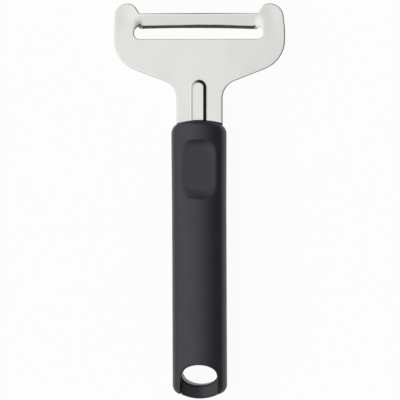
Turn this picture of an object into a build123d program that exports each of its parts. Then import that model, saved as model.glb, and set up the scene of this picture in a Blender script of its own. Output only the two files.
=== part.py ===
from build123d import *
import os
from math import cos, radians, sin, tan

os.makedirs("parts", exist_ok=True)

# A cheese slicer lying on its back with the blade's upper face towards the eye.
# X runs across it, Y from the hanging end to the head, and Z up from the table.
# The origin is on the table, under the middle of its length.

overall_length = 210.0
steel_reach = 61.8  # how far the plate stands out of the handle
overrun = 2.0  # how far a cut runs past what it cuts

# Blade plate: one stamping, with the head, the slot, the blade bar, the neck and the tang
plate_thickness = 1.5
head_width = 90.8
horn_rise = 5.6  # how far the horns stand past the bar
horn_outer_radius = 6.8
horn_inner_radius = 5.4
horn_top_width = 10.2  # from the side of the head to where the horn's inner flank would end
horn_foot_width = 13.8  # the same, at the level of the bar
horn_foot_radius = 1.2
bar_reach = 7.9  # top edge of the bar to its cutting edge, seen from above
bar_lip = 0.8  # strip along the top edge that stays level with the cheeks
fold_sink = 0.06  # the press leaves the bar this much under the lip
fold_overlap = 0.3  # how far the bar's root reaches into the lip
bar_half_length = 30.9  # straight part of the bar
bar_tilt = 13.0
bevel_length = 2.0  # ground face of the cutting edge
twist_length = 3.2  # from the straight bar to the flat cheek
slot_opening = 5.85  # cutting edge to the far side of the slot
slot_end_height = 7.65
slot_half_length = 35.2
slot_corner = 3.2
cheek_corner_drop = 31.1  # tip of the horn to where the side and the shoulder would meet
cheek_radius = 16.5
shoulder_slope = 21.0
neck_radius = 9.9
neck_step = 2.2  # side of the handle to the side of the neck
bead_width = 8.4
bead_height = 2.0
bead_draft = 33.0
bead_rounding = 0.5
bead_head_gap = 40.7  # tip of the horn to the rounded end of the bead
bead_grip_depth = 22.0  # how far the bead runs on inside the handle
bead_groove_inset = 0.8  # the groove behind the bead is this much narrower on each side
tang_cover = 6.9  # side of the handle to the side of the tang
tang_length = 74.0
tang_corner = 4.0
tang_shoulder_depth = 6.0
tang_shoulder_radius = 1.5
tang_hole_radius = 3.0
tang_hole_spacing = 19.0
tang_hole_count = 3
tang_hole_margin = 9.0  # end of the tang to the last hole

# Handle: a hard core moulded round the tang, and a sleeve moulded over the core
handle_width = 28.9
handle_thickness = 18.0
back_slope_width = 6.9  # from the side to the flat of the back, before its edges are rounded
rest_land_rounding = 9.0
side_low = 4.8  # where the back turns up into the side
side_high = 12.6  # where the side turns into the crown
crown_edge_radius = 5.0
back_edge_radius = 7.0
neck_end_bow = 2.4
neck_end_corner = 5.5
hang_end_bow = 0.8
hang_end_corner = 5.0
end_rounding = 2.2
end_spread = 0.2  # the outline of both ends runs this much wide of the sides
sleeve_wall = 2.6
sleeve_neck_wall = 4.0
core_corner = 3.5

# Thumb rest: a flat floor sunk into the crown, with a steep end and a long run-out
thumb_depth = 2.5
thumb_border = 4.4  # side of the handle to the floor of the rest
thumb_length = 26.4
thumb_flare = 0.8  # how far the sides open up to the crown
thumb_head_ramp = 1.4
thumb_hang_ramp = 4.2
thumb_setback = 10.4  # end of the handle to the near edge of the rest
thumb_skin = 1.8

# Hanging loop: the end of the core, bare between the two prongs of the sleeve
loop_reach = 2.8  # how far the loop stands out past the prongs
loop_bow = 2.5
loop_end_rounding = 1.6
prong_width = 4.9
hole_half_height = 5.6
hole_setback = 12.7  # end of the loop to the centre of the hole
channel_depth = 9.6  # crown to the middle of the channel's floor
channel_dish = 1.4

# Widths that follow the handle's
neck_width = handle_width - 2 * neck_step
tang_width = handle_width - 2 * tang_cover
rest_land_width = handle_width - 2 * back_slope_width
thumb_width = handle_width - 2 * thumb_border
hole_half_width = handle_width / 2 - prong_width

# Levels and places along the slicer that follow from those sizes
tip_y = overall_length / 2
loop_end_y = -overall_length / 2
handle_top_y = tip_y - steel_reach
prong_end_y = loop_end_y + loop_reach
half_length = (handle_top_y - prong_end_y) / 2
hole_y = loop_end_y + hole_setback
plate_back_z = (handle_thickness - plate_thickness) / 2
plate_front_z = plate_back_z + plate_thickness
bar_top_y = tip_y - horn_rise
fold_y = bar_top_y - bar_lip
root_y = fold_y + fold_overlap
root_z = plate_front_z - fold_sink
cutting_edge_y = bar_top_y - bar_reach
slot_low_y = cutting_edge_y - slot_opening
slot_end_top_y = slot_low_y + slot_end_height
twist_end_x = bar_half_length + twist_length
cheek_corner_y = tip_y - cheek_corner_drop
neck_corner_y = cheek_corner_y - (head_width - neck_width) / 2 * tan(radians(shoulder_slope))
tang_shoulder_y = handle_top_y - tang_shoulder_depth
tang_end_y = tang_shoulder_y - tang_length
first_hole_y = tang_end_y + tang_hole_margin
bead_top_y = tip_y - bead_head_gap
bead_end_y = handle_top_y - bead_grip_depth
bead_length = bead_top_y - bead_end_y
thumb_top_y = handle_top_y - thumb_setback
channel_floor_z = handle_thickness - channel_depth


# The bar is folded down under its lip, so that its cutting edge is lower than the plate
def on_bar(down_the_bar, into_the_bar):
    turn = radians(bar_tilt)
    y = root_y - down_the_bar * cos(turn) + into_the_bar * sin(turn)
    z = root_z - down_the_bar * sin(turn) - into_the_bar * cos(turn)
    return (y, z)


bar_run = root_y - cutting_edge_y + plate_thickness * sin(radians(bar_tilt))
bar_depth = bar_run / cos(radians(bar_tilt))
bar_corners = [
    on_bar(0, 0),
    on_bar(bar_depth - bevel_length, 0),
    on_bar(bar_depth, plate_thickness),
    on_bar(0, plate_thickness),
]
cheek_corners = [
    (root_y, root_z),
    (slot_end_top_y, root_z),
    (slot_end_top_y, root_z - plate_thickness),
    (root_y, root_z - plate_thickness),
]

# Twist at one end of the bar, from its tilted section to the flat cheek
with BuildPart() as bar_twist:
    with BuildSketch(Plane.YZ.offset(bar_half_length)):
        Polygon(*bar_corners, align=None)
    with BuildSketch(Plane.YZ.offset(twist_end_x)):
        Polygon(*cheek_corners, align=None)
    loft(ruled=True)

# Blade bar with its ground edge, and a twist at each end
with BuildPart() as blade_bar:
    with BuildSketch(Plane.YZ):
        Polygon(*bar_corners, align=None)
    extrude(amount=bar_half_length, both=True)
    add(bar_twist.part)
    mirror(bar_twist.part, about=Plane.YZ)

with BuildPart() as blade_plate:
    # Flat blank, one half drawn from the tang to the horn
    with BuildSketch(Plane.XY.offset(plate_back_z)):
        with BuildLine():
            FilletPolyline(
                (0, tang_end_y),
                (tang_width / 2, tang_end_y),
                (tang_width / 2, tang_shoulder_y),
                (neck_width / 2, tang_shoulder_y),
                (neck_width / 2, neck_corner_y),
                (head_width / 2, cheek_corner_y),
                (head_width / 2, tip_y),
                (head_width / 2 - horn_top_width, tip_y),
                (head_width / 2 - horn_foot_width, bar_top_y),
                (0, bar_top_y),
                radius=[
                    tang_corner,
                    tang_shoulder_radius,
                    tang_shoulder_radius,
                    neck_radius,
                    cheek_radius,
                    horn_outer_radius,
                    horn_inner_radius,
                    horn_foot_radius,
                ],
            )
            mirror(about=Plane.YZ)
        make_face()
        # Slot with rounded ends, and the place that the tilted bar takes
        with Locations((0, slot_low_y + slot_end_height / 2)):
            RectangleRounded(2 * slot_half_length, slot_end_height, slot_corner, mode=Mode.SUBTRACT)
        with Locations((0, (fold_y + cutting_edge_y) / 2)):
            Rectangle(2 * twist_end_x, fold_y - cutting_edge_y, mode=Mode.SUBTRACT)
        with Locations((0, first_hole_y + tang_hole_spacing * (tang_hole_count - 1) / 2)):
            with GridLocations(0, tang_hole_spacing, 1, tang_hole_count):
                Circle(tang_hole_radius, mode=Mode.SUBTRACT)
    extrude(amount=plate_thickness)

    add(blade_bar.part)

    # Stiffening bead pressed up out of the neck, with its groove behind
    with BuildSketch(Plane.XY.offset(plate_front_z)):
        with Locations((0, (bead_top_y + bead_end_y) / 2)):
            SlotOverall(bead_length, bead_width, rotation=90)
    extrude(amount=bead_height, taper=bead_draft)
    fillet(blade_plate.faces().sort_by(Axis.Z)[-1].edges(), radius=bead_rounding)
    with BuildSketch(Plane.XY.offset(plate_back_z)):
        with Locations((0, (bead_top_y + bead_end_y) / 2)):
            SlotOverall(
                bead_length - 2 * bead_groove_inset,
                bead_width - 2 * bead_groove_inset,
                rotation=90,
            )
    extrude(amount=bead_height, taper=bead_draft, mode=Mode.SUBTRACT)


# Cross-section of the handle, drawn in from its skin
def handle_section(inset):
    with BuildSketch() as section:
        with BuildLine():
            Polyline(
                (-handle_width / 2, side_high),
                (-handle_width / 2, side_low),
                (-rest_land_width / 2, 0),
                (rest_land_width / 2, 0),
                (handle_width / 2, side_low),
                (handle_width / 2, side_high),
            )
            ThreePointArc(
                (handle_width / 2, side_high),
                (0, handle_thickness),
                (-handle_width / 2, side_high),
            )
        make_face()
        levels = section.vertices().group_by(Axis.Y)
        fillet(levels[-1], radius=crown_edge_radius)
        fillet(levels[1], radius=back_edge_radius)
        fillet(section.vertices().group_by(Axis.Y)[0], radius=rest_land_rounding)
        if inset:
            offset(amount=-inset)
    return section.sketch


# Hollow of the thumb rest, with its floor at the given level
def thumb_hollow(floor_z):
    with BuildPart() as hollow:
        with BuildSketch(Plane.XY.offset(floor_z)):
            with Locations((0, thumb_top_y - thumb_head_ramp - thumb_length / 2)):
                SlotOverall(thumb_length, thumb_width, rotation=90)
        with BuildSketch(Plane.XY.offset(floor_z + thumb_depth)):
            with Locations(
                (0, thumb_top_y - (thumb_length + thumb_head_ramp + thumb_hang_ramp) / 2)
            ):
                SlotOverall(
                    thumb_length + thumb_head_ramp + thumb_hang_ramp,
                    thumb_width + 2 * thumb_flare,
                    rotation=90,
                )
        loft(ruled=True)
    return hollow.part


# Everything that is open at the hanging end: the hole, and the channel over the loop
with BuildPart() as hang_opening:
    with BuildSketch(Plane.XY.offset(-overrun)):
        with Locations((0, hole_y)):
            Ellipse(hole_half_width, hole_half_height)
    extrude(amount=handle_thickness + 2 * overrun)
    with BuildSketch(Plane.XZ.offset(-hole_y)):
        with BuildLine():
            ThreePointArc(
                (-hole_half_width, channel_floor_z + channel_dish),
                (0, channel_floor_z),
                (hole_half_width, channel_floor_z + channel_dish),
            )
            Polyline(
                (hole_half_width, channel_floor_z + channel_dish),
                (hole_half_width, handle_thickness + overrun),
                (-hole_half_width, handle_thickness + overrun),
                (-hole_half_width, channel_floor_z + channel_dish),
            )
        make_face()
    extrude(amount=hole_setback + overrun)

# Loop that the slicer hangs by, out to the handle's own skin and past the prongs' ends
with BuildPart() as hang_loop:
    with BuildSketch(Plane.XZ.offset(-hole_y)):
        add(handle_section(0))
    extrude(amount=hole_setback)
    with BuildSketch(Plane.XY):
        with BuildLine():
            Polyline(
                (-hole_half_width, loop_end_y + loop_bow),
                (-hole_half_width, hole_y),
                (hole_half_width, hole_y),
                (hole_half_width, loop_end_y + loop_bow),
            )
            ThreePointArc(
                (hole_half_width, loop_end_y + loop_bow),
                (0, loop_end_y),
                (-hole_half_width, loop_end_y + loop_bow),
            )
        make_face()
    extrude(amount=handle_thickness, mode=Mode.INTERSECT)
    add(hang_opening.part, mode=Mode.SUBTRACT)
    end_face = hang_loop.faces().sort_by(Axis.Y)[0]
    fillet(end_face.edges().filter_by(Axis.Z, reverse=True), radius=loop_end_rounding)

# Half of the handle's outer form, from its middle to an end that is bowed and rounded
def handle_half(bow, corner):
    half_width = handle_width / 2 + end_spread
    with BuildPart() as half:
        with BuildSketch(Plane.XZ):
            add(handle_section(0))
        extrude(amount=half_length)
        with BuildSketch(Plane.XY) as outline:
            with BuildLine():
                end_line = ThreePointArc(
                    (-half_width, bow - half_length),
                    (0, -half_length),
                    (half_width, bow - half_length),
                )
                Polyline(end_line @ 1, (half_width, 0), (-half_width, 0), end_line @ 0)
            make_face()
            fillet(outline.vertices().group_by(Axis.Y)[0], radius=corner)
        extrude(amount=handle_thickness, mode=Mode.INTERSECT)
        rims = half.edges().filter_by(Axis.Z, reverse=True)
        end_y = -half_length - overrun
        rim = rims.filter_by_position(Axis.Y, end_y, bow + corner - half_length)
        fillet(rim, radius=end_rounding)
    return half.part


# Hard core: an inner body a sleeve's wall inside the skin, which ends in the loop
with BuildPart() as handle_core:
    with BuildSketch(Plane.XZ.offset(sleeve_neck_wall - handle_top_y)):
        add(handle_section(sleeve_wall))
    extrude(amount=handle_top_y - prong_end_y - sleeve_neck_wall - sleeve_wall)
    fillet(handle_core.edges().filter_by(Axis.Z), radius=core_corner)
    add(hang_opening.part, mode=Mode.SUBTRACT)
    add(thumb_hollow(handle_thickness - thumb_depth - thumb_skin), mode=Mode.SUBTRACT)
    add(blade_plate.part, mode=Mode.SUBTRACT)
    add(hang_loop.part)

# Sleeve moulded over the core, bowed and rounded at the neck and split into two prongs
neck_half = mirror(handle_half(neck_end_bow, neck_end_corner), about=Plane.XZ)
hang_half = handle_half(hang_end_bow, hang_end_corner)
with BuildPart() as grip_sleeve:
    with Locations((0, prong_end_y + half_length)):
        add(neck_half)
        add(hang_half)
    add(thumb_hollow(handle_thickness - thumb_depth), mode=Mode.SUBTRACT)
    add(hang_opening.part, mode=Mode.SUBTRACT)
    with BuildSketch(Plane.XY):
        with Locations((0, (hole_y + loop_end_y) / 2)):
            Rectangle(2 * hole_half_width, hole_setback)
    extrude(amount=handle_thickness, mode=Mode.SUBTRACT)
    add(handle_core.part, mode=Mode.SUBTRACT)
    add(blade_plate.part, mode=Mode.SUBTRACT)

blade_plate.part.label = "blade_plate"
export_step(blade_plate.part, "parts/blade_plate.step")
handle_core.part.label = "handle_core"
export_step(handle_core.part, "parts/handle_core.step")
grip_sleeve.part.label = "grip_sleeve"
export_step(grip_sleeve.part, "parts/grip_sleeve.step")
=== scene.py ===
import math

import bpy
import numpy as np
from mathutils import Matrix, Vector
from mathutils.geometry import delaunay_2d_cdt
from mathutils.kdtree import KDTree


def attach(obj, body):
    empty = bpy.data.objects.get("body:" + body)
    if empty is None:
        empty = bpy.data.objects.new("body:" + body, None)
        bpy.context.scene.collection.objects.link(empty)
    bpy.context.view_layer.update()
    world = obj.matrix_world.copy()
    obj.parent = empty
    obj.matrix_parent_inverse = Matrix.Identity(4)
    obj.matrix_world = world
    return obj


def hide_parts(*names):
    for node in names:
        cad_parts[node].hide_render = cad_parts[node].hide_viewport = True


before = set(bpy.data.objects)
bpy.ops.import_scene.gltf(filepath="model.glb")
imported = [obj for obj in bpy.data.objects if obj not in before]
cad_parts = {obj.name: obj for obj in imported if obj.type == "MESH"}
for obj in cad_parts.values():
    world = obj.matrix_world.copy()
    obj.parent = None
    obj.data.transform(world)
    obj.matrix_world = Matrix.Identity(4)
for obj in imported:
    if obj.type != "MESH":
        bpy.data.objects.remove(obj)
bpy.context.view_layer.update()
print("frame loaded:", ", ".join(sorted(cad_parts)))

mm = 0.001
arcStep = math.radians(7)
creaseAngle = math.radians(38)  # sharper turns than this stay crisp in the shading


def linear(code):
    # sRGB hex to the linear colour that the shaders work in
    parts = [int(code[i:i + 2], 16) / 255 for i in (1, 3, 5)]
    return tuple(v / 12.92 if v <= 0.04045 else ((v + 0.055) / 1.055) ** 2.4 for v in parts) + (1.0,)


def addNode(tree, kind, settings=None, inputs=None, links=None):
    node = tree.nodes.new(kind)
    for name, value in (settings or {}).items():
        setattr(node, name, value)
    for key, value in (inputs or {}).items():
        node.inputs[key].default_value = value
    for key, socket in (links or {}).items():
        tree.links.new(socket, node.inputs[key])
    return node


# The camera looks down on the front of the slicer, a little from its right side
shot = {
    "sensor": 36,
    "distance": 0.88,
    "fromRight": math.radians(5.5),  # where the eye stands
    "turned": math.radians(4.5),  # how far the camera turns back towards the slicer
    "roll": math.radians(-0.05),
    "target": (0.0002, 0.00045, 0.009),
    "fieldAtTarget": 0.2121,  # width of what the frame takes in
}

cameraData = bpy.data.cameras.new("camera")
cameraData.sensor_width = shot["sensor"]
cameraData.lens = shot["sensor"] * shot["distance"] / shot["fieldAtTarget"]
camera = bpy.data.objects.new("camera", cameraData)
aside, above = math.sin(shot["fromRight"]), math.cos(shot["fromRight"])
camera.location = Vector(shot["target"]) + shot["distance"] * Vector((aside, 0, above))
turn = Matrix.Rotation(shot["turned"], 3, "Y") @ Matrix.Rotation(shot["roll"], 3, "Z")
camera.rotation_euler = turn.to_euler()
# the photo's edges hardly converge, so the last degree of the view is a lens shift
cameraData.shift_x = -shot["distance"] * math.sin(shot["fromRight"] - shot["turned"]) / shot["fieldAtTarget"]
bpy.context.scene.collection.objects.link(camera)
bpy.context.scene.camera = camera
print("camera placed")


# Shared shaping: a flat outline becomes a thick piece with rounded rims. All of it is in millimetres.

def smooth(value):
    t = np.clip(value, 0, 1)
    return t * t * (3 - 2 * t)


def roundedPath(corners, step):
    # corners are (x, y, radius); a radius turns the corner into an arc, and long runs are divided
    count = len(corners)
    path = []
    for i, (x, y, radius) in enumerate(corners):
        here = np.array((x, y), float)
        if not radius:
            path.append(here)
            continue
        back = np.array(corners[i - 1][:2], float) - here
        ahead = np.array(corners[(i + 1) % count][:2], float) - here
        back /= np.linalg.norm(back)
        ahead /= np.linalg.norm(ahead)
        half = math.acos(np.clip(back @ ahead, -1, 1)) / 2
        middle = (back + ahead) / np.linalg.norm(back + ahead)
        centre = here + middle * radius / math.sin(half)
        first = here + back * radius / math.tan(half) - centre
        last = here + ahead * radius / math.tan(half) - centre
        sweep = math.atan2(first[0] * last[1] - first[1] * last[0], first @ last)
        parts = max(3, math.ceil(abs(sweep) / arcStep))
        for k in range(parts + 1):
            cosine, sine = math.cos(sweep * k / parts), math.sin(sweep * k / parts)
            spoke = (first[0] * cosine - first[1] * sine, first[0] * sine + first[1] * cosine)
            path.append(centre + np.array(spoke))
    full = []
    for here, ahead in zip(path, path[1:] + path[:1]):
        parts = max(1, round(float(np.linalg.norm(ahead - here)) / step))
        full += [here + (ahead - here) * k / parts for k in range(parts)]
    return np.array(full)


def inwardNormals(path):
    along = np.roll(path, -1, 0) - np.roll(path, 1, 0)
    along /= np.linalg.norm(along, axis=1)[:, None]
    return np.stack((-along[:, 1], along[:, 0]), 1)


def isInside(points, path):
    x, y = points[:, 0], points[:, 1]
    inside = np.zeros(len(points), bool)
    for (ax, ay), (bx, by) in zip(path, np.roll(path, -1, 0)):
        if ay != by:
            inside ^= ((ay > y) != (by > y)) & (x < ax + (y - ay) * (bx - ax) / (by - ay))
    return inside


def triangulate(loops, ridges, spots):
    # loops and ridges are kept as edges; spots only fill in between
    points, edges = [], []
    for path, closed in [(loop, True) for loop in loops] + [(ridge, False) for ridge in ridges]:
        start, count = len(points), len(path)
        points += [Vector(point) for point in path]
        edges += [(start + i, start + (i + 1) % count) for i in range(count if closed else count - 1)]
    points += [Vector(spot) for spot in spots]
    found = delaunay_2d_cdt(points, edges, [], 0, 1e-5)
    flat = np.array([tuple(v) for v in found[0]])
    faces = np.array([(f[0], f[k], f[k + 1]) for f in found[2] for k in range(1, len(f) - 1)])
    home = np.zeros(len(points), int)
    for index, sources in enumerate(found[3]):
        for source in sources:
            home[source] = index
    return flat, faces, home


def fillSpots(outer, taken, spacing):
    # a grid of even triangles that keeps clear of the kept edges
    low, high = outer.min(0), outer.max(0)
    rowSpacing = spacing * 0.866
    gx, gy = np.meshgrid(np.arange(low[0], high[0], spacing), np.arange(low[1], high[1], rowSpacing))
    gx[1::2] += spacing / 2
    spots = np.stack((gx.ravel(), gy.ravel()), 1)
    taken = np.concatenate(taken + [(path + np.roll(path, -1, 0)) / 2 for path in taken])
    tree = KDTree(len(taken))
    for i, (x, y) in enumerate(taken):
        tree.insert((x, y, 0), i)
    tree.balance()
    clearance = spacing * 0.45
    return spots[[tree.find((x, y, 0))[2] > clearance for x, y in spots]]


def sameRim(path, front, back):
    return np.tile(np.array((front, front, back, back), float), (len(path), 1))


def taper(rims, path, corners):
    # the rounding narrows toward a sharp corner, so that its two sides don't run into each other
    least, growth = 0.18, 0.75
    away = np.min([np.hypot(*(path - np.array(corner)).T) for corner in corners], axis=0)
    return rims * np.minimum(1, (least + growth * away) / rims.max(1))[:, None]


def slab(name, loops, rims, spacing, surface=None, ridges=(), marks=None, turns=7, wallRows=6):
    # loops: outer one anticlockwise, holes clockwise. rims: for each loop an array (points, 4) with the width
    # and height of its rounding at the front and at the back. surface(x, y, isFront) gives the level, or stays
    # out where nodes shape the piece. marks: named functions of the same kind, kept as attributes.
    # turns and wallRows say how finely the rims and walls are divided.
    vertices, faces, walls = [], [], []
    kept = {"side": [], "frontDrop": [], "backDrop": [], "edge": []}
    offset = 0
    for isFront in (True, False):
        rings, drops, starts = [], [], []
        for path, rim in zip(loops, rims):
            starts.append(sum(len(ring) for ring in rings))
            normals = inwardNormals(path)
            width, height = (rim[:, 0], rim[:, 1]) if isFront else (rim[:, 2], rim[:, 3])
            for k in range(turns):
                a = math.pi / 2 * k / (turns - 1)
                rings.append(path + normals * (width * (1 - math.cos(a)))[:, None])
                drops.append(height * (1 - math.sin(a)))
        spots = fillSpots(loops[0], rings + [np.array(ridge) for ridge in ridges], spacing)
        flat, tris, home = triangulate(rings, ridges, spots)
        centres = flat[tris].mean(1)
        keep = isInside(centres, loops[0])
        for gap in loops[1:]:
            keep &= ~isInside(centres, gap)
        tris = tris[keep]
        drop = np.zeros(len(flat))
        at = 0
        for ring, fall in zip(rings, drops):
            drop[home[at:at + len(ring)]] = fall
            at += len(ring)
        corner = flat[tris]
        one, two = corner[:, 1] - corner[:, 0], corner[:, 2] - corner[:, 0]
        wrong = (one[:, 0] * two[:, 1] - one[:, 1] * two[:, 0] < 0) == isFront
        tris[wrong] = tris[wrong][:, ::-1]
        level = drop * 0
        if surface:
            level = surface(flat[:, 0], flat[:, 1], isFront) + (-drop if isFront else drop)
        vertices.append(np.column_stack((flat, level)))
        kept["side"].append(np.full(len(flat), float(isFront)))
        kept["frontDrop"].append(drop if isFront else drop * 0)
        kept["backDrop"].append(drop * 0 if isFront else drop)
        # the mark "edge" is full on the rim itself and part of it on the first ring inside
        onRim = np.zeros(len(flat))
        for path, at in zip(loops, starts):
            for k, share in ((1, 0.6), (0, 1.0)):
                onRim[home[at + k * len(path):at + (k + 1) * len(path)]] = share
        kept["edge"].append(onRim)
        faces += (tris + offset).tolist()
        walls.append([home[at:at + len(path)] + offset for path, at in zip(loops, starts)])
        offset += len(flat)
    sheets = np.concatenate(vertices)
    falls = {key: np.concatenate(values) for key, values in kept.items()}
    for top, bottom in zip(*walls):
        count = len(top)
        rows = [top]
        for k in range(1, wallRows):
            t = k / wallRows
            rows.append(np.arange(count) + offset)
            vertices.append(sheets[top] * (1 - t) + sheets[bottom] * t)
            kept["side"].append(np.full(count, 1 - t))
            kept["frontDrop"].append(falls["frontDrop"][top])
            kept["backDrop"].append(falls["backDrop"][bottom])
            kept["edge"].append(np.ones(count))
            offset += count
        rows.append(bottom)
        for upper, lower in zip(rows, rows[1:]):
            for i in range(count):
                j = (i + 1) % count
                faces.append((int(upper[i]), int(lower[i]), int(lower[j]), int(upper[j])))
    every = np.concatenate(vertices)
    layers = {key: np.concatenate(values) for key, values in kept.items()}
    for key, mark in (marks or {}).items():
        layers[key] = mark(every[:, 0], every[:, 1], layers["side"] > 0.5)
    used = np.zeros(len(every), bool)
    for face in faces:
        used[list(face)] = True
    order = np.cumsum(used) - 1
    places = every[used] * (mm if surface else 1)
    mesh = bpy.data.meshes.new(name)
    mesh.from_pydata(places.tolist(), [], [[int(order[v]) for v in face] for face in faces])
    mesh.validate()
    mesh.update()
    for key, values in layers.items():
        layer = mesh.attributes.new(key, "FLOAT", "POINT")
        layer.data.foreach_set("value", values[used].astype(np.float32))
    piece = bpy.data.objects.new(name, mesh)
    bpy.context.scene.collection.objects.link(piece)
    mesh.polygons.foreach_set("use_smooth", [True] * len(mesh.polygons))
    mesh.set_sharp_from_angle(angle=creaseAngle)
    print(name, "has", len(mesh.vertices), "vertices and", len(mesh.polygons), "faces")
    return piece


# Grip sleeve: its plan is drawn here, and Geometry Nodes raise it to the handle's cross-section
grip = {
    "halfWidth": 14.45,
    "neckEnd": 42.15,
    "neckBow": 2.4,
    "neckArc": 8,  # how far to each side the bowed end is drawn point by point
    "neckCorner": 5.5,
    "flare": 0.015,  # the neck end is this share wider
    "flareStart": -10,
    "flareLength": 45,
    "prongEnd": -102.2,
    "prongBow": 0.8,
    "prongCorner": 4.4,
    "prongTip": 0.2,
    "gapHalf": 9.75,
    "holeHalfWidth": 9.3,
    "holeHalfHeight": 5.6,
    "holeY": -92.2,
    "rim": (2.2, 2.2, 2.0, 2.0),  # width and height of the rounding, front and back
    "flankRim": (0.8, 1.0, 0.9, 1.6),  # what it gains along the flanks
    "notchRounding": 0.6,
    "askew": -0.003,
    "aside": -0.24,
}
section = {
    "Crown Height": 18.0,
    "Crown Radius": 22.03,
    "Back Flat": 4.73,  # half of the flat that it rests on
    "Back Turn": 9.87,  # where the rounded turn runs into the slope
    "Back Radius": 9.0,
    "Back Slope": 4.8 / 6.9,
    "Rest Floor": 15.88,
    "Rest Lean": -0.03,
    "Rest Centre": 16.6,
    "Rest Half Length": 15.8,
    "Rest Half Width": 11.3,
    "Rest Corner": 9.4,
    "Head Ramp": 4.6,
    "Hang Ramp": 6.8,
    "Ramp Change Start": 7.5,  # from the rest's lower end, where the ramp starts to lengthen
    "Ramp Change End": 3.0,
}


def crownLevel(x):
    radius = section["Crown Radius"]
    return section["Crown Height"] - radius + np.sqrt(radius * radius - x * x)


def backLevel(x):
    u = np.abs(x)
    radius = section["Back Radius"]
    v = np.clip(u - section["Back Flat"], 0, section["Back Turn"] - section["Back Flat"])
    slope = section["Back Slope"] * np.maximum(0, u - section["Back Turn"])
    return radius - np.sqrt(radius * radius - v * v) + slope


def neckLine(x):
    return grip["neckEnd"] - grip["neckBow"] * (x / grip["halfWidth"]) ** 2


def prongLine(x):
    return grip["prongEnd"] + grip["prongBow"] * (x / grip["halfWidth"]) ** 2


flank, gap = grip["halfWidth"], grip["gapHalf"]
neckRun = np.linspace(grip["neckArc"], -grip["neckArc"], 17)
neck = [(flank, neckLine(flank), grip["neckCorner"])]
neck += [(x, neckLine(x), 0) for x in neckRun]
neck += [(-flank, neckLine(flank), grip["neckCorner"])]
archHeight = grip["holeHalfHeight"] + gap - grip["holeHalfWidth"]
archSweep = np.linspace(0, math.pi, 41)
arch = [(-gap * math.cos(a), grip["holeY"] + archHeight * math.sin(a), 0) for a in archSweep]
prong = [(flank, prongLine(flank), grip["prongCorner"]), (gap, prongLine(gap), grip["prongTip"])]
sleeveOutline = roundedPath(neck + [(-x, y, r) for x, y, r in prong] + arch + prong[::-1], 0.9)
flared = smooth((sleeveOutline[:, 1] - grip["flareStart"]) / grip["flareLength"])
sleeveOutline[:, 0] *= 1 + grip["flare"] * flared
inNotch = np.abs(sleeveOutline[:, 0]) < gap + 0.02
inNotch &= sleeveOutline[:, 1] < grip["holeY"] + archHeight + 0.1
facing = np.abs(inwardNormals(sleeveOutline)[:, 0]) ** 3
sleeveRim = np.stack([plain + more * facing for plain, more in zip(grip["rim"], grip["flankRim"])], 1)
sleeveRim[inNotch] = grip["notchRounding"]
sleeveRim = taper(sleeveRim, sleeveOutline, [(side * gap, prongLine(gap)) for side in (-1, 1)])
# lines across both ends of the thumb rest keep its border crisp
restLines = []
quarters = np.linspace(math.pi, 0, 33)
for inset in (-0.35, 0.0, 0.35, 0.9, 1.6):
    restSizes = ("Rest Half Width", "Rest Half Length", "Rest Corner")
    wide, tall, corner = (section[key] - inset for key in restSizes)
    bendX = np.sign(np.cos(quarters)) * (wide - corner) + corner * np.cos(quarters)
    bendY = tall - corner + corner * np.sin(quarters)
    bend = np.stack((bendX, bendY), 1)[np.abs(bendX) < 10.4]
    for end in (1, -1):
        restLines.append(bend * (1, end) + (0, section["Rest Centre"]))
gripSleeve = slab("gripSleeve", [sleeveOutline], [sleeveRim], 0.8, ridges=restLines, turns=8, wallRows=8)

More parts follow.
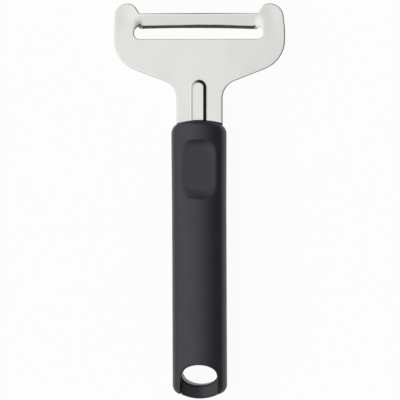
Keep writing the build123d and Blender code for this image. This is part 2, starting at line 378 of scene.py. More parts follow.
# each step is: result, operation, and what it works on (an earlier result, an input, or a number)
sectionSteps = [
    # the crown is an arc
    ("u", "ABSOLUTE", "x"),
    ("radiusSquare", "MULTIPLY", "Crown Radius", "Crown Radius"),
    ("xSquare", "MULTIPLY", "x", "x"),
    ("underRoot", "SUBTRACT", "radiusSquare", "xSquare"),
    ("root", "SQRT", "underRoot"),
    ("crownCentre", "SUBTRACT", "Crown Height", "Crown Radius"),
    ("crown", "ADD", "crownCentre", "root"),
    # the back is a flat, a rounded turn and a slope
    ("turned", "SUBTRACT", "u", "Back Flat"),
    ("turnLength", "SUBTRACT", "Back Turn", "Back Flat"),
    ("turnStart", "MAXIMUM", "turned", 0.0),
    ("turn", "MINIMUM", "turnStart", "turnLength"),
    ("turnSquare", "MULTIPLY", "turn", "turn"),
    ("backSquare", "MULTIPLY", "Back Radius", "Back Radius"),
    ("backUnder", "SUBTRACT", "backSquare", "turnSquare"),
    ("backRoot", "SQRT", "backUnder"),
    ("arc", "SUBTRACT", "Back Radius", "backRoot"),
    ("pastTurn", "SUBTRACT", "u", "Back Turn"),
    ("onSlope", "MAXIMUM", "pastTurn", 0.0),
    ("back", "MULTIPLY_ADD", "onSlope", "Back Slope", "arc"),
    # distance outside the thumb rest's rounded border, negative inside
    ("coreX", "SUBTRACT", "Rest Half Width", "Rest Corner"),
    ("coreY", "SUBTRACT", "Rest Half Length", "Rest Corner"),
    ("fromX", "SUBTRACT", "u", "coreX"),
    ("fromCentre", "SUBTRACT", "y", "Rest Centre"),
    ("fromCentreSize", "ABSOLUTE", "fromCentre"),
    ("fromY", "SUBTRACT", "fromCentreSize", "coreY"),
    ("outX", "MAXIMUM", "fromX", 0.0),
    ("outY", "MAXIMUM", "fromY", 0.0),
    ("outXSquare", "MULTIPLY", "outX", "outX"),
    ("outSquare", "MULTIPLY_ADD", "outY", "outY", "outXSquare"),
    ("outLength", "SQRT", "outSquare"),
    ("deeper", "MAXIMUM", "fromX", "fromY"),
    ("inLength", "MINIMUM", "deeper", 0.0),
    ("signed", "ADD", "outLength", "inLength"),
    ("away", "SUBTRACT", "signed", "Rest Corner"),
    # the rest is scooped: steepest at its border, with a longer ramp at the hanging end
    ("restEnd", "SUBTRACT", "Rest Centre", "Rest Half Length"),
    ("rampStart", "ADD", "restEnd", "Ramp Change Start"),
    ("rampEnd", "ADD", "restEnd", "Ramp Change End"),
    ("rampLength", "SMOOTHSTEP", "y", "rampStart", "rampEnd", "Head Ramp", "Hang Ramp"),
    ("rampFoot", "SUBTRACT", 0.0, "rampLength"),
    ("into", "DIVIDE", "away", "rampFoot"),
    ("inward", "MAXIMUM", "into", 0.0),
    ("share", "MINIMUM", "inward", 1.0),
    ("left", "SUBTRACT", 1.0, "share"),
    ("leftSquare", "MULTIPLY", "left", "left"),
    ("inRest", "SUBTRACT", 1.0, "leftSquare"),
    ("floor", "MULTIPLY_ADD", "x", "Rest Lean", "Rest Floor"),
    ("above", "SUBTRACT", "crown", "floor"),
    ("cutAway", "MAXIMUM", "above", 0.0),
    ("cut", "MULTIPLY", "cutAway", "inRest"),
    ("hollowed", "SUBTRACT", "crown", "cut"),
    # front, back and what lies between them
    ("top", "SUBTRACT", "hollowed", "frontDrop"),
    ("low", "ADD", "back", "backDrop"),
    ("height", "SUBTRACT", "top", "low"),
    ("z", "MULTIPLY_ADD", "height", "side", "low"),
]
raising = bpy.data.node_groups.new("handleSection", "GeometryNodeTree")
sockets = raising.interface
sockets.new_socket("Plan", in_out="INPUT", socket_type="NodeSocketGeometry")
for name, value in section.items():
    sockets.new_socket(name, in_out="INPUT", socket_type="NodeSocketFloat").default_value = value
sockets.new_socket("Skin", in_out="INPUT", socket_type="NodeSocketMaterial")
sockets.new_socket("Piece", in_out="OUTPUT", socket_type="NodeSocketGeometry")
given = addNode(raising, "NodeGroupInput")
place = addNode(raising, "GeometryNodeInputPosition")
split = addNode(raising, "ShaderNodeSeparateXYZ", None, None, {0: place.outputs[0]})
found = {name: given.outputs[name] for name in section}
found.update(x=split.outputs[0], y=split.outputs[1])
for name in ("side", "frontDrop", "backDrop"):
    mark = addNode(raising, "GeometryNodeInputNamedAttribute", {"data_type": "FLOAT"}, {"Name": name})
    found[name] = mark.outputs[0]
for name, kind, *terms in sectionSteps:
    ranged = kind == "SMOOTHSTEP"
    node = addNode(
        raising,
        "ShaderNodeMapRange" if ranged else "ShaderNodeMath",
        {"interpolation_type": kind} if ranged else {"operation": kind},
        {i: term for i, term in enumerate(terms) if not isinstance(term, str)},
        {i: found[term] for i, term in enumerate(terms) if isinstance(term, str)})
    found[name] = node.outputs[0]
joined = addNode(raising, "ShaderNodeCombineXYZ", None, None, {i: found[axis] for i, axis in enumerate("xyz")})
metres = addNode(raising, "ShaderNodeVectorMath", {"operation": "SCALE"}, {"Scale": mm}, {0: joined.outputs[0]})
raised = addNode(raising, "GeometryNodeSetPosition", None, None, {
    "Geometry": given.outputs["Plan"], "Position": metres.outputs[0]})
real = addNode(raising, "GeometryNodeRealizeInstances", None, None, {0: raised.outputs[0]})
skinned = addNode(raising, "GeometryNodeSetMaterial", None, None, {
    "Geometry": real.outputs[0], "Material": given.outputs["Skin"]})
addNode(raising, "NodeGroupOutput", None, None, {0: skinned.outputs[0]})

# Hard core: hidden but for the loop at the hanging end, which shows through the sleeve's gap
core = {
    "loopEnd": -104.98,
    "loopBow": 2.5,
    "loopHalf": 9.65,
    "loopCorner": 1.3,
    "bodyHalf": 11.85,
    "bodyTop": 39.2,
    "bodyCorner": 3.5,
    "bodyEnd": -99.6,
    "shoulder": 1.0,
    "seamCorner": 0.3,
    "wall": 2.6,
    "frontGap": 0.6,  # kept free under the sleeve's front
    "underRest": (17, 18, 2.0),  # middle, half length and depth of the hollow below the thumb rest
    "channelFloor": 9.2,
    "channelSlope": 0.3,
    "channelLean": 1.5,  # how far right of the middle the channel is lowest
    "channelTurn": 2.0,  # how round it is there
    "seamRounding": 0.3,
    "endRounding": 1.5,
    "holeRounding": 0.5,
    "holeSlope": (0.6, 1.3),  # extra width and depth of the rounding on the hole's low side, worn by the hook
}


def coreLevel(x, y, isFront):
    inChannel = (y < grip["holeY"]) & (np.abs(x) < core["loopHalf"] + 0.2)
    if isFront:
        turn = core["channelTurn"]
        channel = core["channelFloor"] + core["channelSlope"] * (np.hypot(x - core["channelLean"], turn) - turn)
        middle, reach, depth = core["underRest"]
        hidden = crownLevel(x) - core["wall"] - core["frontGap"] - depth * (np.abs(y - middle) < reach)
        return np.where(inChannel, channel, hidden)
    return np.where(inChannel, backLevel(x), backLevel(x * (flank / core["bodyHalf"])) + core["wall"])


body, loop = core["bodyHalf"], core["loopHalf"]
tail = [[x, core["loopEnd"] + core["loopBow"] * (x / loop) ** 2, 0] for x in np.linspace(-loop, loop, 23)]
tail[0][2] = tail[-1][2] = core["loopCorner"]
shoulder = [(loop, core["bodyEnd"], core["seamCorner"]), (body, core["bodyEnd"], core["shoulder"])]
coreTop = [(side * body, core["bodyTop"], core["bodyCorner"]) for side in (1, -1)]
coreOutline = roundedPath(coreTop + [(-x, y, r) for x, y, r in shoulder[::-1]] + tail + shoulder, 0.9)
clockwise = np.linspace(0, -2 * math.pi, 80, endpoint=False)
holeY = grip["holeY"] + grip["holeHalfHeight"] * np.sin(clockwise)
hole = np.stack((grip["holeHalfWidth"] * np.cos(clockwise), holeY), 1)
coreRim = sameRim(coreOutline, core["seamRounding"], core["seamRounding"])
atEnd = np.abs(inwardNormals(coreOutline)[:, 1]) ** 2 * (coreOutline[:, 1] < core["bodyEnd"] - 1.2)
coreRim += ((core["endRounding"] - core["seamRounding"]) * atEnd)[:, None]
coreRim = taper(coreRim, coreOutline, [(side * loop, core["loopEnd"] + core["loopBow"]) for side in (-1, 1)])
holeRim = sameRim(hole, core["holeRounding"], core["holeRounding"])
holeRim[:, :2] += np.outer(np.clip(-inwardNormals(hole)[:, 1], 0, 1), core["holeSlope"])
handleCore = slab("handleCore", [coreOutline, hole], [coreRim, holeRim], 1.0, coreLevel)

# Stamped plate: head, horns, slot, blade bar, neck with its bead, and the tang inside the handle
plate = {
    "thickness": 1.5,
    "front": 9.75,
    "headWidth": 90.8,
    "tip": 105.0,
    "barTop": 99.4,
    "barTopSkew": 0.2,
    "barTopBow": 0.25,
    "foldLine": 98.6,
    "tilt": math.radians(13),
    "twistStart": 29.4,
    "twistLength": 5.4,
    "sag": 0.25,
    "cuttingEdge": 91.35,  # at the ends of the blade
    "edgeBow": 0.5,  # how far the edge bows up in the middle
    "edgeSkew": -0.011,
    "skew": -0.0065,  # bar and slot run a little down to the right
    "shift": -0.6,  # slot and blade sit a little left of the middle
    "bladeHalf": 31.0,
    "bevel": 1.85,
    "bevelDepth": 1.25,
    "hollow": 0.68,  # below 1 the ground face is hollow, steepest at its top
    "slotLow": 85.75,
    "slotHalf": 34.4,
    "slotCorner": 3.0,
    "cheekDraw": (0.05, 34.4, 2.6, 95.4, 3.4),  # depth, then place and spread across and along
    "hornDish": (0.26, 39.0, 5.4, 98.0, 8.0),
    "cheekCorner": 73.9,
    "cheekRadius": 16.5,
    "neckRadius": 9.9,
    "neckWidth": 24.4,
    "neckCorner": 61.1,
    "tangWidth": 15.0,
    "tangShoulder": 37.2,
    "shoulderRadius": 1.5,
    "tangEnd": -36.8,
    "tangCorner": 4.0,
    "tangHoles": (-27.8, -8.8, 10.2),
    "tangHoleRadius": 3,
    "beadTop": 64.3,
    "beadEnd": 21.2,
    "beadHalf": 4.05,
    "beadShift": -0.35,
    "beadHeight": 1.95,
    "beadWall": 1.3,
    "beadRunOut": 0.8,
    "beadInset": 0.8,  # the groove behind is this much narrower on each side
    "mouthShadow": 0.55,  # width of the painted shadow on the plate in front of the sleeve
    "mouthFade": 0.25,
    "edgeRounding": 0.32,
    "backRounding": 0.2,
    "rightRounding": 0.3,  # extra on edges that face right
    "topRounding": 0.4,  # extra on the rolled top edge of the bar, most in the middle
    "slotRounding": (0.2, 0.15),  # front and back
    "slotLowRounding": 0.12,  # extra along the slot's low side
    "holeRounding": 0.15,
}
inBar = plate["slotLow"] + 3.2  # everything above this level and between the cheeks is bar
beadLow, beadHigh = plate["beadEnd"] + plate["beadHalf"], plate["beadTop"] - plate["beadHalf"]


def edgeLine(x):
    t = np.clip((x - plate["shift"]) / plate["bladeHalf"], -1, 1)
    return plate["cuttingEdge"] + plate["edgeBow"] * (1 - t * t) + plate["edgeSkew"] * x


def beadDistance(x, y):
    return np.hypot(x - plate["beadShift"], y - np.clip(y, beadLow, beadHigh))


def roundedRamp(t, ease=0.24):
    # a straight ramp from 0 to 1 whose foot and top are short arcs
    t = np.clip(t, 0, 1)
    mirrored = np.minimum(t, 1 - t)
    arcs = mirrored ** 2 / (2 * ease * (1 - ease))
    low = np.where(mirrored < ease, arcs, (mirrored - ease / 2) / (1 - ease))
    return np.where(t < 0.5, low, 1 - low)


def dent(x, y, depth, placeX, spreadX, placeY, spreadY):
    return depth * np.exp(-((x - placeX) / spreadX) ** 2 - ((y - placeY) / spreadY) ** 2)


def groundFace(x, y, isFront):
    # how much a place belongs to the ground face along the cutting edge
    u = np.abs(x - plate["shift"])
    along = 1 - smooth((u - plate["bladeHalf"] + 0.4) / 0.9)
    up = (y - edgeLine(x)) / plate["bevel"]
    return np.where(isFront & (y > inBar) & (y < plate["foldLine"]) & (up < 1.001), along, 0)


def paintedBeadShade(x, y, isFront):
    # painted shade in the steep walls of the bead: faint on the left wall, much darker on the right wall, which
    # faces away from the light
    away = beadDistance(x, y)
    into = plate["beadHalf"] - away
    onWall = smooth(into / 0.3) * (1 - smooth((into - plate["beadWall"] - 0.1) / 0.3))
    toRight = (x - plate["beadShift"]) / np.maximum(away, 0.1)
    return onWall * (0.1 + 0.8 * smooth((toRight + 0.05) / 0.5))


def mouthShadowMask(x, y, isFront):
    # painted shadow on the plate in the gap where it comes out of the sleeve
    past = y - neckLine(x)
    return np.where(np.abs(past) < 3, 1 - smooth((past - plate["mouthShadow"]) / plate["mouthFade"]), 0)


def plateLevel(x, y, isFront):
    u = np.abs(x - plate["shift"])
    level = np.full(len(x), plate["front"] if isFront else plate["front"] - plate["thickness"])
    # the bar tilts down from its fold, sags in the middle, and twists back to the cheeks past its ends
    tilted = 1 - smooth((u - plate["twistStart"]) / plate["twistLength"])
    run = plate["foldLine"] - y
    run = 0.5 * (run + np.sqrt(run * run + 0.09))
    onBar = smooth((y - inBar) / 2)
    level -= tilted * run * onBar * math.tan(plate["tilt"])
    level -= plate["sag"] * tilted * onBar * (1 - np.minimum(1, (u / plate["twistStart"]) ** 2))
    # the press draws the cheeks in round the ends of the bar, and leaves the horns a little dished
    level -= dent(u, y, *plate["cheekDraw"])
    level -= dent(u, y, *plate["hornDish"])
    if isFront:
        up = np.clip((y - edgeLine(x)) / plate["bevel"], 0, 1)
        level -= (1 - up) ** plate["hollow"] * plate["bevelDepth"] * groundFace(x, y, True)
    # the bead runs out more gently at its end
    inset = 0 if isFront else plate["beadInset"]
    wall = plate["beadWall"] + plate["beadRunOut"] * smooth((y - beadHigh) / 3)
    level += plate["beadHeight"] * roundedRamp((plate["beadHalf"] - inset - beadDistance(x, y)) / wall)
    return level


head, neckSide, tang = plate["headWidth"] / 2, plate["neckWidth"] / 2, plate["tangWidth"] / 2
lowerSide = [
    (tang, plate["tangEnd"], plate["tangCorner"]),
    (tang, plate["tangShoulder"], plate["shoulderRadius"]),
    (neckSide, plate["tangShoulder"], plate["shoulderRadius"]),
    (neckSide, plate["neckCorner"], plate["neckRadius"]),
    (head, plate["cheekCorner"], plate["cheekRadius"]),
]
# the two horns were not cut alike: the left one leans out, and the right one is the broader
barTop, topSkew = plate["barTop"], plate["barTopSkew"]
rightHorn = [(head, 91.0, 30.0), (43.8, 104.3, 7.2), (34.3, 104.3, 3.6), (31.3, barTop - topSkew, 1.2)]
topRun = np.linspace(26, -26, 14)
barLine = [(x, barTop + plate["barTopBow"] * (1 - (x / 30) ** 2) + plate["skew"] * x, 0) for x in topRun]
leftHorn = [(-32.0, barTop + topSkew, 1.2), (-35.4, plate["tip"], 5.2), (-45.0, plate["tip"], 6.6)]
leftHorn.append((-head, 92.0, 30.0))
leftSide = leftHorn + [(-x, y, r) for x, y, r in reversed(lowerSide)]
plateOutline = roundedPath(lowerSide + rightHorn + barLine + leftSide, 0.9)

# slot, clockwise: along the cutting edge, round the right relief, along the bottom, and back
blade, slotHalf = plate["bladeHalf"], plate["slotHalf"]
edgeRun = np.linspace(-blade, blade, 64)
cuttingRun = [(x, float(edgeLine(np.array(x + plate["shift"]))), 0) for x in edgeRun]
slotEnd = [(31.9, 91.9, 0.3), (32.4, 92.6, 0.5), (slotHalf, 90.6, 1.8)]
slotEnd.append((slotHalf, plate["slotLow"], plate["slotCorner"]))
slotRound = slotEnd + [(-x, y, r) for x, y, r in reversed(slotEnd)]
slotCorners = cuttingRun + [(x, y + plate["skew"] * x, r) for x, y, r in slotRound]
slotOutline = roundedPath([(x + plate["shift"], y, r) for x, y, r in slotCorners], 0.9)
around = np.linspace(0, -2 * math.pi, 40, endpoint=False)
boreX, boreY = (plate["tangHoleRadius"] * turned for turned in (np.cos(around), np.sin(around)))
tangHoles = [np.stack((boreX, y + boreY), 1) for y in plate["tangHoles"]]

slotRim = sameRim(slotOutline, *plate["slotRounding"])
slotFacing = np.clip(-inwardNormals(slotOutline), 0, 1)
slotRim[:, 0] += plate["rightRounding"] * slotFacing[:, 0] + plate["slotLowRounding"] * slotFacing[:, 1]
onEdge = slotOutline[:, 1] > plate["cuttingEdge"] - 0.35
onEdge &= np.abs(slotOutline[:, 0] - plate["shift"]) < blade + 0.1
slotRim[onEdge] = (0.03, 0.0, 0.1, 0.05)  # the cutting edge stays sharp
outerRim = sameRim(plateOutline, plate["edgeRounding"], plate["backRounding"])
outerRim[:, 0] += plate["rightRounding"] * np.clip(-inwardNormals(plateOutline)[:, 0], 0, 1)
topHalf = 29
onTop = (plateOutline[:, 1] > barTop - 0.35) & (np.abs(plateOutline[:, 0]) < topHalf)
rolled = plate["topRounding"] * np.cos(plateOutline[onTop, 0] / topHalf * math.pi / 2)
outerRim[onTop, :2] = (plate["edgeRounding"] + rolled)[:, None]

# lines kept in the mesh: round the bead's wall, along the ground face and the fold, and at the mouth
ridges = []
cap = np.linspace(0, math.pi, 24)
beadSpan = plate["beadWall"] + plate["beadInset"] + plate["beadRunOut"]
for inset in np.linspace(-0.05, beadSpan + 0.05, 18):
    r = plate["beadHalf"] - inset
    ridges.append((plate["beadShift"], 0) + np.concatenate((
        np.stack((np.full(36, r), np.linspace(beadLow, beadHigh, 36, endpoint=False)), 1),
        np.stack((r * np.cos(cap), beadHigh + r * np.sin(cap)), 1),
        np.stack((np.full(36, -r), np.linspace(beadHigh, beadLow, 37)[1:]), 1),
        np.stack((-r * np.cos(cap[1:]), beadLow - r * np.sin(cap[1:])), 1),
    )))
reach = np.linspace(1 - blade, blade - 1, 60) + plate["shift"]
for lift in (-1.3, -0.7, -0.25, 0.0, 0.06):
    ridges.append(np.stack((reach, edgeLine(reach) + plate["bevel"] + lift), 1))
foldRun = np.linspace(-31.6, 30.4, 70)
for y in (97.9, 98.2, 98.45, 98.7):
    ridges.append(np.stack((foldRun, np.full(70, y)), 1))
across = np.linspace(-11.6, 11.6, 40)
for past in (0.0, plate["mouthShadow"], plate["mouthShadow"] + plate["mouthFade"]):
    ridges.append(np.stack((across, neckLine(across) + past), 1))
bladePlate = slab(
    "bladePlate",
    [plateOutline, slotOutline] + tangHoles,
    [outerRim, slotRim] + [sameRim(bore, plate["holeRounding"], plate["holeRounding"]) for bore in tangHoles],
    0.9, plateLevel, ridges, {"ground": groundFace, "mouthShadow": mouthShadowMask, "beadShade": paintedBeadShade}, turns=5, wallRows=2)

# Stainless sheet, 18/10, rolled and tumbled after pressing: bright satin, with a faint grain along the
# slicer and soft clouds, so that its reflections stay calm but never dead flat
steelLook = {
    "base": "#d3d3cf",
    # sheared edges: a duller grey, darkened further as a painted dark reflection along the rims
    "shearedEdgeShade": "#2c2c2e",
    # painted shade, nearly black: the shadow in the sleeve's mouth and the shade on the bead's walls
    "paintedShade": "#0d0d0e",
    "roughness": 0.24,
    "cloud": 22.0,  # millimetres across
    "cloudRoughness": (-0.04, 0.05),
    "grain": (0.45, 26.0, 0.45),  # real grain is ten times finer, and would fall between the pixels
    "grainBump": (0.06, 0.02),  # strength, and height in millimetres
    "scratch": (0.5, 40.0, 0.5),
    "scratchTurn": 0.7,
    "scratchRange": (0.70, 0.78),  # only the peaks of the noise are scratches
    "scratchRoughness": 0.05,
    "edgeRoughness": 0.25,
    "groundRoughness": -0.08,
    "wave": 16.0,
    "waveBump": (0.12, 0.6),
}
steel = bpy.data.materials.new("satinStainless")
steel.use_nodes = True
tree = steel.node_tree
shader = tree.nodes["Principled BSDF"]
shader.inputs["Metallic"].default_value = 1.0
where = addNode(tree, "ShaderNodeTexCoord").outputs["Object"]
cloud = addNode(tree, "ShaderNodeTexNoise", None, {
    "Scale": 1 / (steelLook["cloud"] * mm), "Detail": 4.0, "Roughness": 0.55}, {"Vector": where})
alongGrain = addNode(tree, "ShaderNodeMapping", None, {
    "Scale": [1 / (v * mm) for v in steelLook["grain"]]}, {"Vector": where})
grain = addNode(tree, "ShaderNodeTexNoise", None, {
    "Scale": 1.0, "Detail": 3.0, "Roughness": 0.6}, {"Vector": alongGrain.outputs[0]})
askew = addNode(tree, "ShaderNodeMapping", None, {
    "Rotation": (0.0, 0.0, steelLook["scratchTurn"]),
    "Scale": [1 / (v * mm) for v in steelLook["scratch"]]}, {"Vector": where})
scratches = addNode(tree, "ShaderNodeTexNoise", None, {"Scale": 1.0, "Detail": 1.0}, {"Vector": askew.outputs[0]})
scratchLow, scratchHigh = steelLook["scratchRange"]
scratch = addNode(tree, "ShaderNodeMapRange", None, {
    "From Min": scratchLow, "From Max": scratchHigh}, {"Value": scratches.outputs["Fac"]})
wave = addNode(tree, "ShaderNodeTexNoise", None, {
    "Scale": 1 / (steelLook["wave"] * mm), "Detail": 1.0}, {"Vector": where})
edge, ground, mouthShadow, beadShade = (
    addNode(tree, "ShaderNodeAttribute", {"attribute_name": name}).outputs["Fac"]
    for name in ("edge", "ground", "mouthShadow", "beadShade"))
shaded = addNode(tree, "ShaderNodeMath", {"operation": "MAXIMUM"}, None, {0: mouthShadow, 1: beadShade})
# painted shade: the plate's rims and walls take the dark edge colour, partly the duller sheared steel and partly a
# painted dark reflection
colour = addNode(tree, "ShaderNodeMix", {"data_type": "RGBA"}, {
    6: linear(steelLook["base"]), 7: linear(steelLook["shearedEdgeShade"])}, {0: edge})
# painted shadow in the sleeve's mouth and painted shade on the bead's walls darken the plate nearly to black
colour = addNode(tree, "ShaderNodeMix", {"data_type": "RGBA"}, {
    7: linear(steelLook["paintedShade"])}, {0: shaded.outputs[0], 6: colour.outputs[2]})
tree.links.new(colour.outputs[2], shader.inputs["Base Color"])
smoother, rougher = (steelLook["roughness"] + change for change in steelLook["cloudRoughness"])
rough = addNode(tree, "ShaderNodeMapRange", None, {
    "From Min": 0.3, "From Max": 0.7, "To Min": smoother, "To Max": rougher}, {"Value": cloud.outputs["Fac"]})
for key, source in (("scratch", scratch.outputs[0]), ("edge", edge), ("ground", ground)):
    rough = addNode(tree, "ShaderNodeMath", {"operation": "MULTIPLY_ADD"}, {
        1: steelLook[key + "Roughness"]}, {0: source, 2: rough.outputs[0]})
tree.links.new(rough.outputs[0], shader.inputs["Roughness"])
strength, height = steelLook["waveBump"]
waved = addNode(tree, "ShaderNodeBump", None, {
    "Strength": strength, "Distance": height * mm}, {"Height": wave.outputs["Fac"]})
strength, height = steelLook["grainBump"]
grained = addNode(tree, "ShaderNodeBump", None, {
    "Strength": strength, "Distance": height * mm}, {"Height": grain.outputs["Fac"], "Normal": waved.outputs[0]})
tree.links.new(grained.outputs[0], shader.inputs["Normal"])

# Plastic, moulded in a spark-eroded tool: anthracite with a fine matte grain that breaks up the gloss,
# slightly scuffed by the hand where it is gripped
skinLook = {
    "base": "#2b2c34",
    "worn": "#34353e",
    "roughness": 0.40,
    "grain": 0.5,  # spark erosion leaves pits of about 0.05 mm, drawn coarser so that they show
    "grainBump": (0.22, 0.05),
    "mottle": 9.0,
    "mottleRoughness": (-0.05, 0.04),
    "scuff": (0.6, 14.0, 3.0),
    "scuffTurn": -0.2,
    "scuffRange": (0.66, 0.80),
    "scuffRoughness": 0.08,
}
skins = {}
for name, dark in (("mouldedSkin", 1.0), ("mouldedCore", 0.88)):
    skins[name] = skin = bpy.data.materials.new(name)
    skin.use_nodes = True
    tree = skin.node_tree
    shader = tree.nodes["Principled BSDF"]
    where = addNode(tree, "ShaderNodeTexCoord").outputs["Object"]
    grain = addNode(tree, "ShaderNodeTexNoise", None, {
        "Scale": 1 / (skinLook["grain"] * mm), "Detail": 2.0, "Roughness": 0.7}, {"Vector": where})
    mottle = addNode(tree, "ShaderNodeTexNoise", None, {
        "Scale": 1 / (skinLook["mottle"] * mm), "Detail": 3.0}, {"Vector": where})
    lengthways = addNode(tree, "ShaderNodeMapping", None, {
        "Rotation": (0.0, 0.0, skinLook["scuffTurn"]),
        "Scale": [1 / (v * mm) for v in skinLook["scuff"]]}, {"Vector": where})
    scuffs = addNode(tree, "ShaderNodeTexNoise", None, {
        "Scale": 1.0, "Detail": 2.0}, {"Vector": lengthways.outputs[0]})
    scuffLow, scuffHigh = skinLook["scuffRange"]
    scuff = addNode(tree, "ShaderNodeMapRange", None, {
        "From Min": scuffLow, "From Max": scuffHigh}, {"Value": scuffs.outputs["Fac"]})
    base, worn = (tuple(v * dark for v in linear(skinLook[key])[:3]) + (1.0,) for key in ("base", "worn"))
    colour = addNode(tree, "ShaderNodeMix", {"data_type": "RGBA"}, {6: base, 7: worn}, {0: scuff.outputs[0]})
    tree.links.new(colour.outputs[2], shader.inputs["Base Color"])
    smoother, rougher = (skinLook["roughness"] + change for change in skinLook["mottleRoughness"])
    rough = addNode(tree, "ShaderNodeMapRange", None, {
        "From Min": 0.3, "From Max": 0.7, "To Min": smoother, "To Max": rougher}, {"Value": mottle.outputs["Fac"]})
    rough = addNode(tree, "ShaderNodeMath", {"operation": "MULTIPLY_ADD"}, {
        1: skinLook["scuffRoughness"]}, {0: scuff.outputs[0], 2: rough.outputs[0]})
    tree.links.new(rough.outputs[0], shader.inputs["Roughness"])
    strength, height = skinLook["grainBump"]
    bump = addNode(tree, "ShaderNodeBump", None, {
        "Strength": strength, "Distance": height * mm}, {"Height": grain.outputs["Fac"]})
    tree.links.new(bump.outputs[0], shader.inputs["Normal"])

modifier = gripSleeve.modifiers.new("handleSection", "NODES")
modifier.node_group = raising
for item in raising.interface.items_tree:
    if item.in_out == "INPUT" and item.name in section:
        modifier[item.identifier] = section[item.name]
    if item.name == "Skin":
        modifier[item.identifier] = skins["mouldedSkin"]
bpy.context.view_layer.update()
shaped = bpy.data.meshes.new_from_object(gripSleeve.evaluated_get(bpy.context.evaluated_depsgraph_get()))
gripSleeve.modifiers.clear()
gripSleeve.data = shaped
shaped.name = "gripSleeve"
shaped.set_sharp_from_angle(angle=creaseAngle)
# the handle sits a fraction of a degree askew on the plate, and a little to the left
lean = Matrix(((1, grip["askew"], 0, grip["aside"] * mm), (0, 1, 0, 0), (0, 0, 1, 0), (0, 0, 0, 1)))
for piece in (gripSleeve, handleCore):
    piece.data.transform(lean)

for piece, node, place in (
        (bladePlate, "blade_plate", "stainless_sheet"),
        (gripSleeve, "grip_sleeve", "grip_skin"),
        (handleCore, "handle_core", "hard_core")):
    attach(piece, "root")
    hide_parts(node)
bladePlate.data.materials.append(steel)
handleCore.data.materials.append(skins["mouldedCore"])
print("materials given")

# Floor: white to the eye and in reflections, with the slicer's soft shadow kept
room = {"floorHalf": 3.0, "floorLevel": -0.0003, "whiteShare": 0.94}
far, under = room["floorHalf"], room["floorLevel"]
floorMesh = bpy.data.meshes.new("floor")
floorCorners = [(-far, -far, under), (far, -far, under), (far, far, under), (-far, far, under)]
floorMesh.from_pydata(floorCorners, [], [(0, 1, 2, 3)])
floor = bpy.data.objects.new("floor", floorMesh)
bpy.context.scene.collection.objects.link(floor)
floorPaint = bpy.data.materials.new("paleFloor")
floorPaint.use_nodes = True
tree = floorPaint.node_tree
tree.nodes.clear()
rays = addNode(tree, "ShaderNodeLightPath").outputs
seen = addNode(tree, "ShaderNodeMath", {"operation": "MAXIMUM"}, None, {
    0: rays["Is Camera Ray"], 1: rays["Is Glossy Ray"]})
seen = addNode(tree, "ShaderNodeMath", {"operation": "MAXIMUM"}, None, {
    0: seen.outputs[0], 1: rays["Is Transmission Ray"]})
share = addNode(tree, "ShaderNodeMath", {"operation": "MULTIPLY"}, {1: room["whiteShare"]}, {0: seen.outputs[0]})
paint = addNode(tree, "ShaderNodeBsdfDiffuse", None, {"Color": linear("#ffffff")})
white = addNode(tree, "ShaderNodeEmission", None, {"Color": linear("#ffffff"), "Strength": 1.0})
both = addNode(tree, "ShaderNodeMixShader", None, None, {
    0: share.outputs[0], 1: paint.outputs[0], 2: white.outputs[0]})
addNode(tree, "ShaderNodeOutputMaterial", None, None, {"Surface": both.outputs[0]})
floor.data.materials.append(floorPaint)

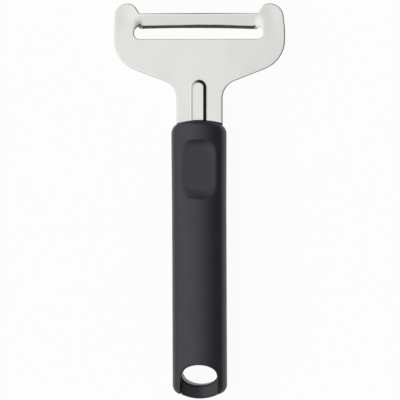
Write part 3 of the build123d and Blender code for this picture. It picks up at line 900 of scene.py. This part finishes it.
# Soft studio: a broad light overhead and to the left, which falls off to the right and beyond both ends.
# The numbers work on the direction of the light, whose parts run from -1 to 1.
studio = {
    "left": 0.78,
    "ends": 0.2,
    "headEnd": 0.08,
    "darkBelow": 0.2,
    "fullAbove": 1.3,
    "dark": 0.02,
    "full": 1.4,
    "horizon": 0.3,  # share of the light that is left at the horizon
    "haze": 0.4,  # height at which all of it is back
    "rightWall": 0.6,  # a pale wall low on the right lights that rim of the handle
    "wallTop": 0.3,
    "wallSide": (0.35, 0.9),
    "cards": 0.3,  # white cards in the corners, which give the steel something to reflect at a low angle
    "cardSide": (0.14, 0.38),
    "cardTop": (0.75, 0.4),
}
world = bpy.data.worlds.new("studio")
world.use_nodes = True
tree = world.node_tree
tree.nodes.clear()
where = addNode(tree, "ShaderNodeTexCoord").outputs["Generated"]
toX, toY, toZ = addNode(tree, "ShaderNodeSeparateXYZ", None, None, {0: where}).outputs
ends = addNode(tree, "ShaderNodeMath", {"operation": "ABSOLUTE"}, None, {0: toY})
bright = toZ
for key, source in (("left", toX), ("ends", ends.outputs[0]), ("headEnd", toY)):
    bright = addNode(tree, "ShaderNodeMath", {"operation": "MULTIPLY_ADD"}, {
        1: -studio[key]}, {0: source, 2: bright}).outputs[0]
crossed = addNode(tree, "ShaderNodeMath", {"operation": "MULTIPLY"}, None, {0: toX, 1: toY})
corners = addNode(tree, "ShaderNodeMath", {"operation": "ABSOLUTE"}, None, {0: crossed.outputs[0]})
# each range is: name, source, where it starts and ends, and its values there
ranges = [
    ("level", bright, studio["darkBelow"], studio["fullAbove"], studio["dark"], studio["full"]),
    ("risen", toZ, 0.0, studio["haze"], studio["horizon"], 1.0),
    ("onRight", toX, *studio["wallSide"], 0.0, 1.0),
    ("wall", toZ, studio["wallTop"], 0.0, 0.0, studio["rightWall"]),
    ("card", corners.outputs[0], *studio["cardSide"], 0.0, studio["cards"]),
    ("cardTop", toZ, *studio["cardTop"], 0.0, 1.0),
]
parts = {}
for name, source, *limits in ranges:
    parts[name] = addNode(tree, "ShaderNodeMapRange", {"interpolation_type": "SMOOTHSTEP"}, {
        i + 1: limit for i, limit in enumerate(limits)}, {0: source}).outputs[0]
lit = addNode(tree, "ShaderNodeMath", {"operation": "MULTIPLY"}, None, {0: parts["level"], 1: parts["risen"]})
for one, two in (("onRight", "wall"), ("card", "cardTop")):
    lit = addNode(tree, "ShaderNodeMath", {"operation": "MULTIPLY_ADD"}, None, {
        0: parts[one], 1: parts[two], 2: lit.outputs[0]})
sky = addNode(tree, "ShaderNodeBackground", None, {"Color": linear("#ffffff")}, {"Strength": lit.outputs[0]})
addNode(tree, "ShaderNodeOutputWorld", None, None, {"Surface": sky.outputs[0]})
bpy.context.scene.world = world
bpy.context.scene.view_settings.view_transform = "Standard"
print("studio lit")
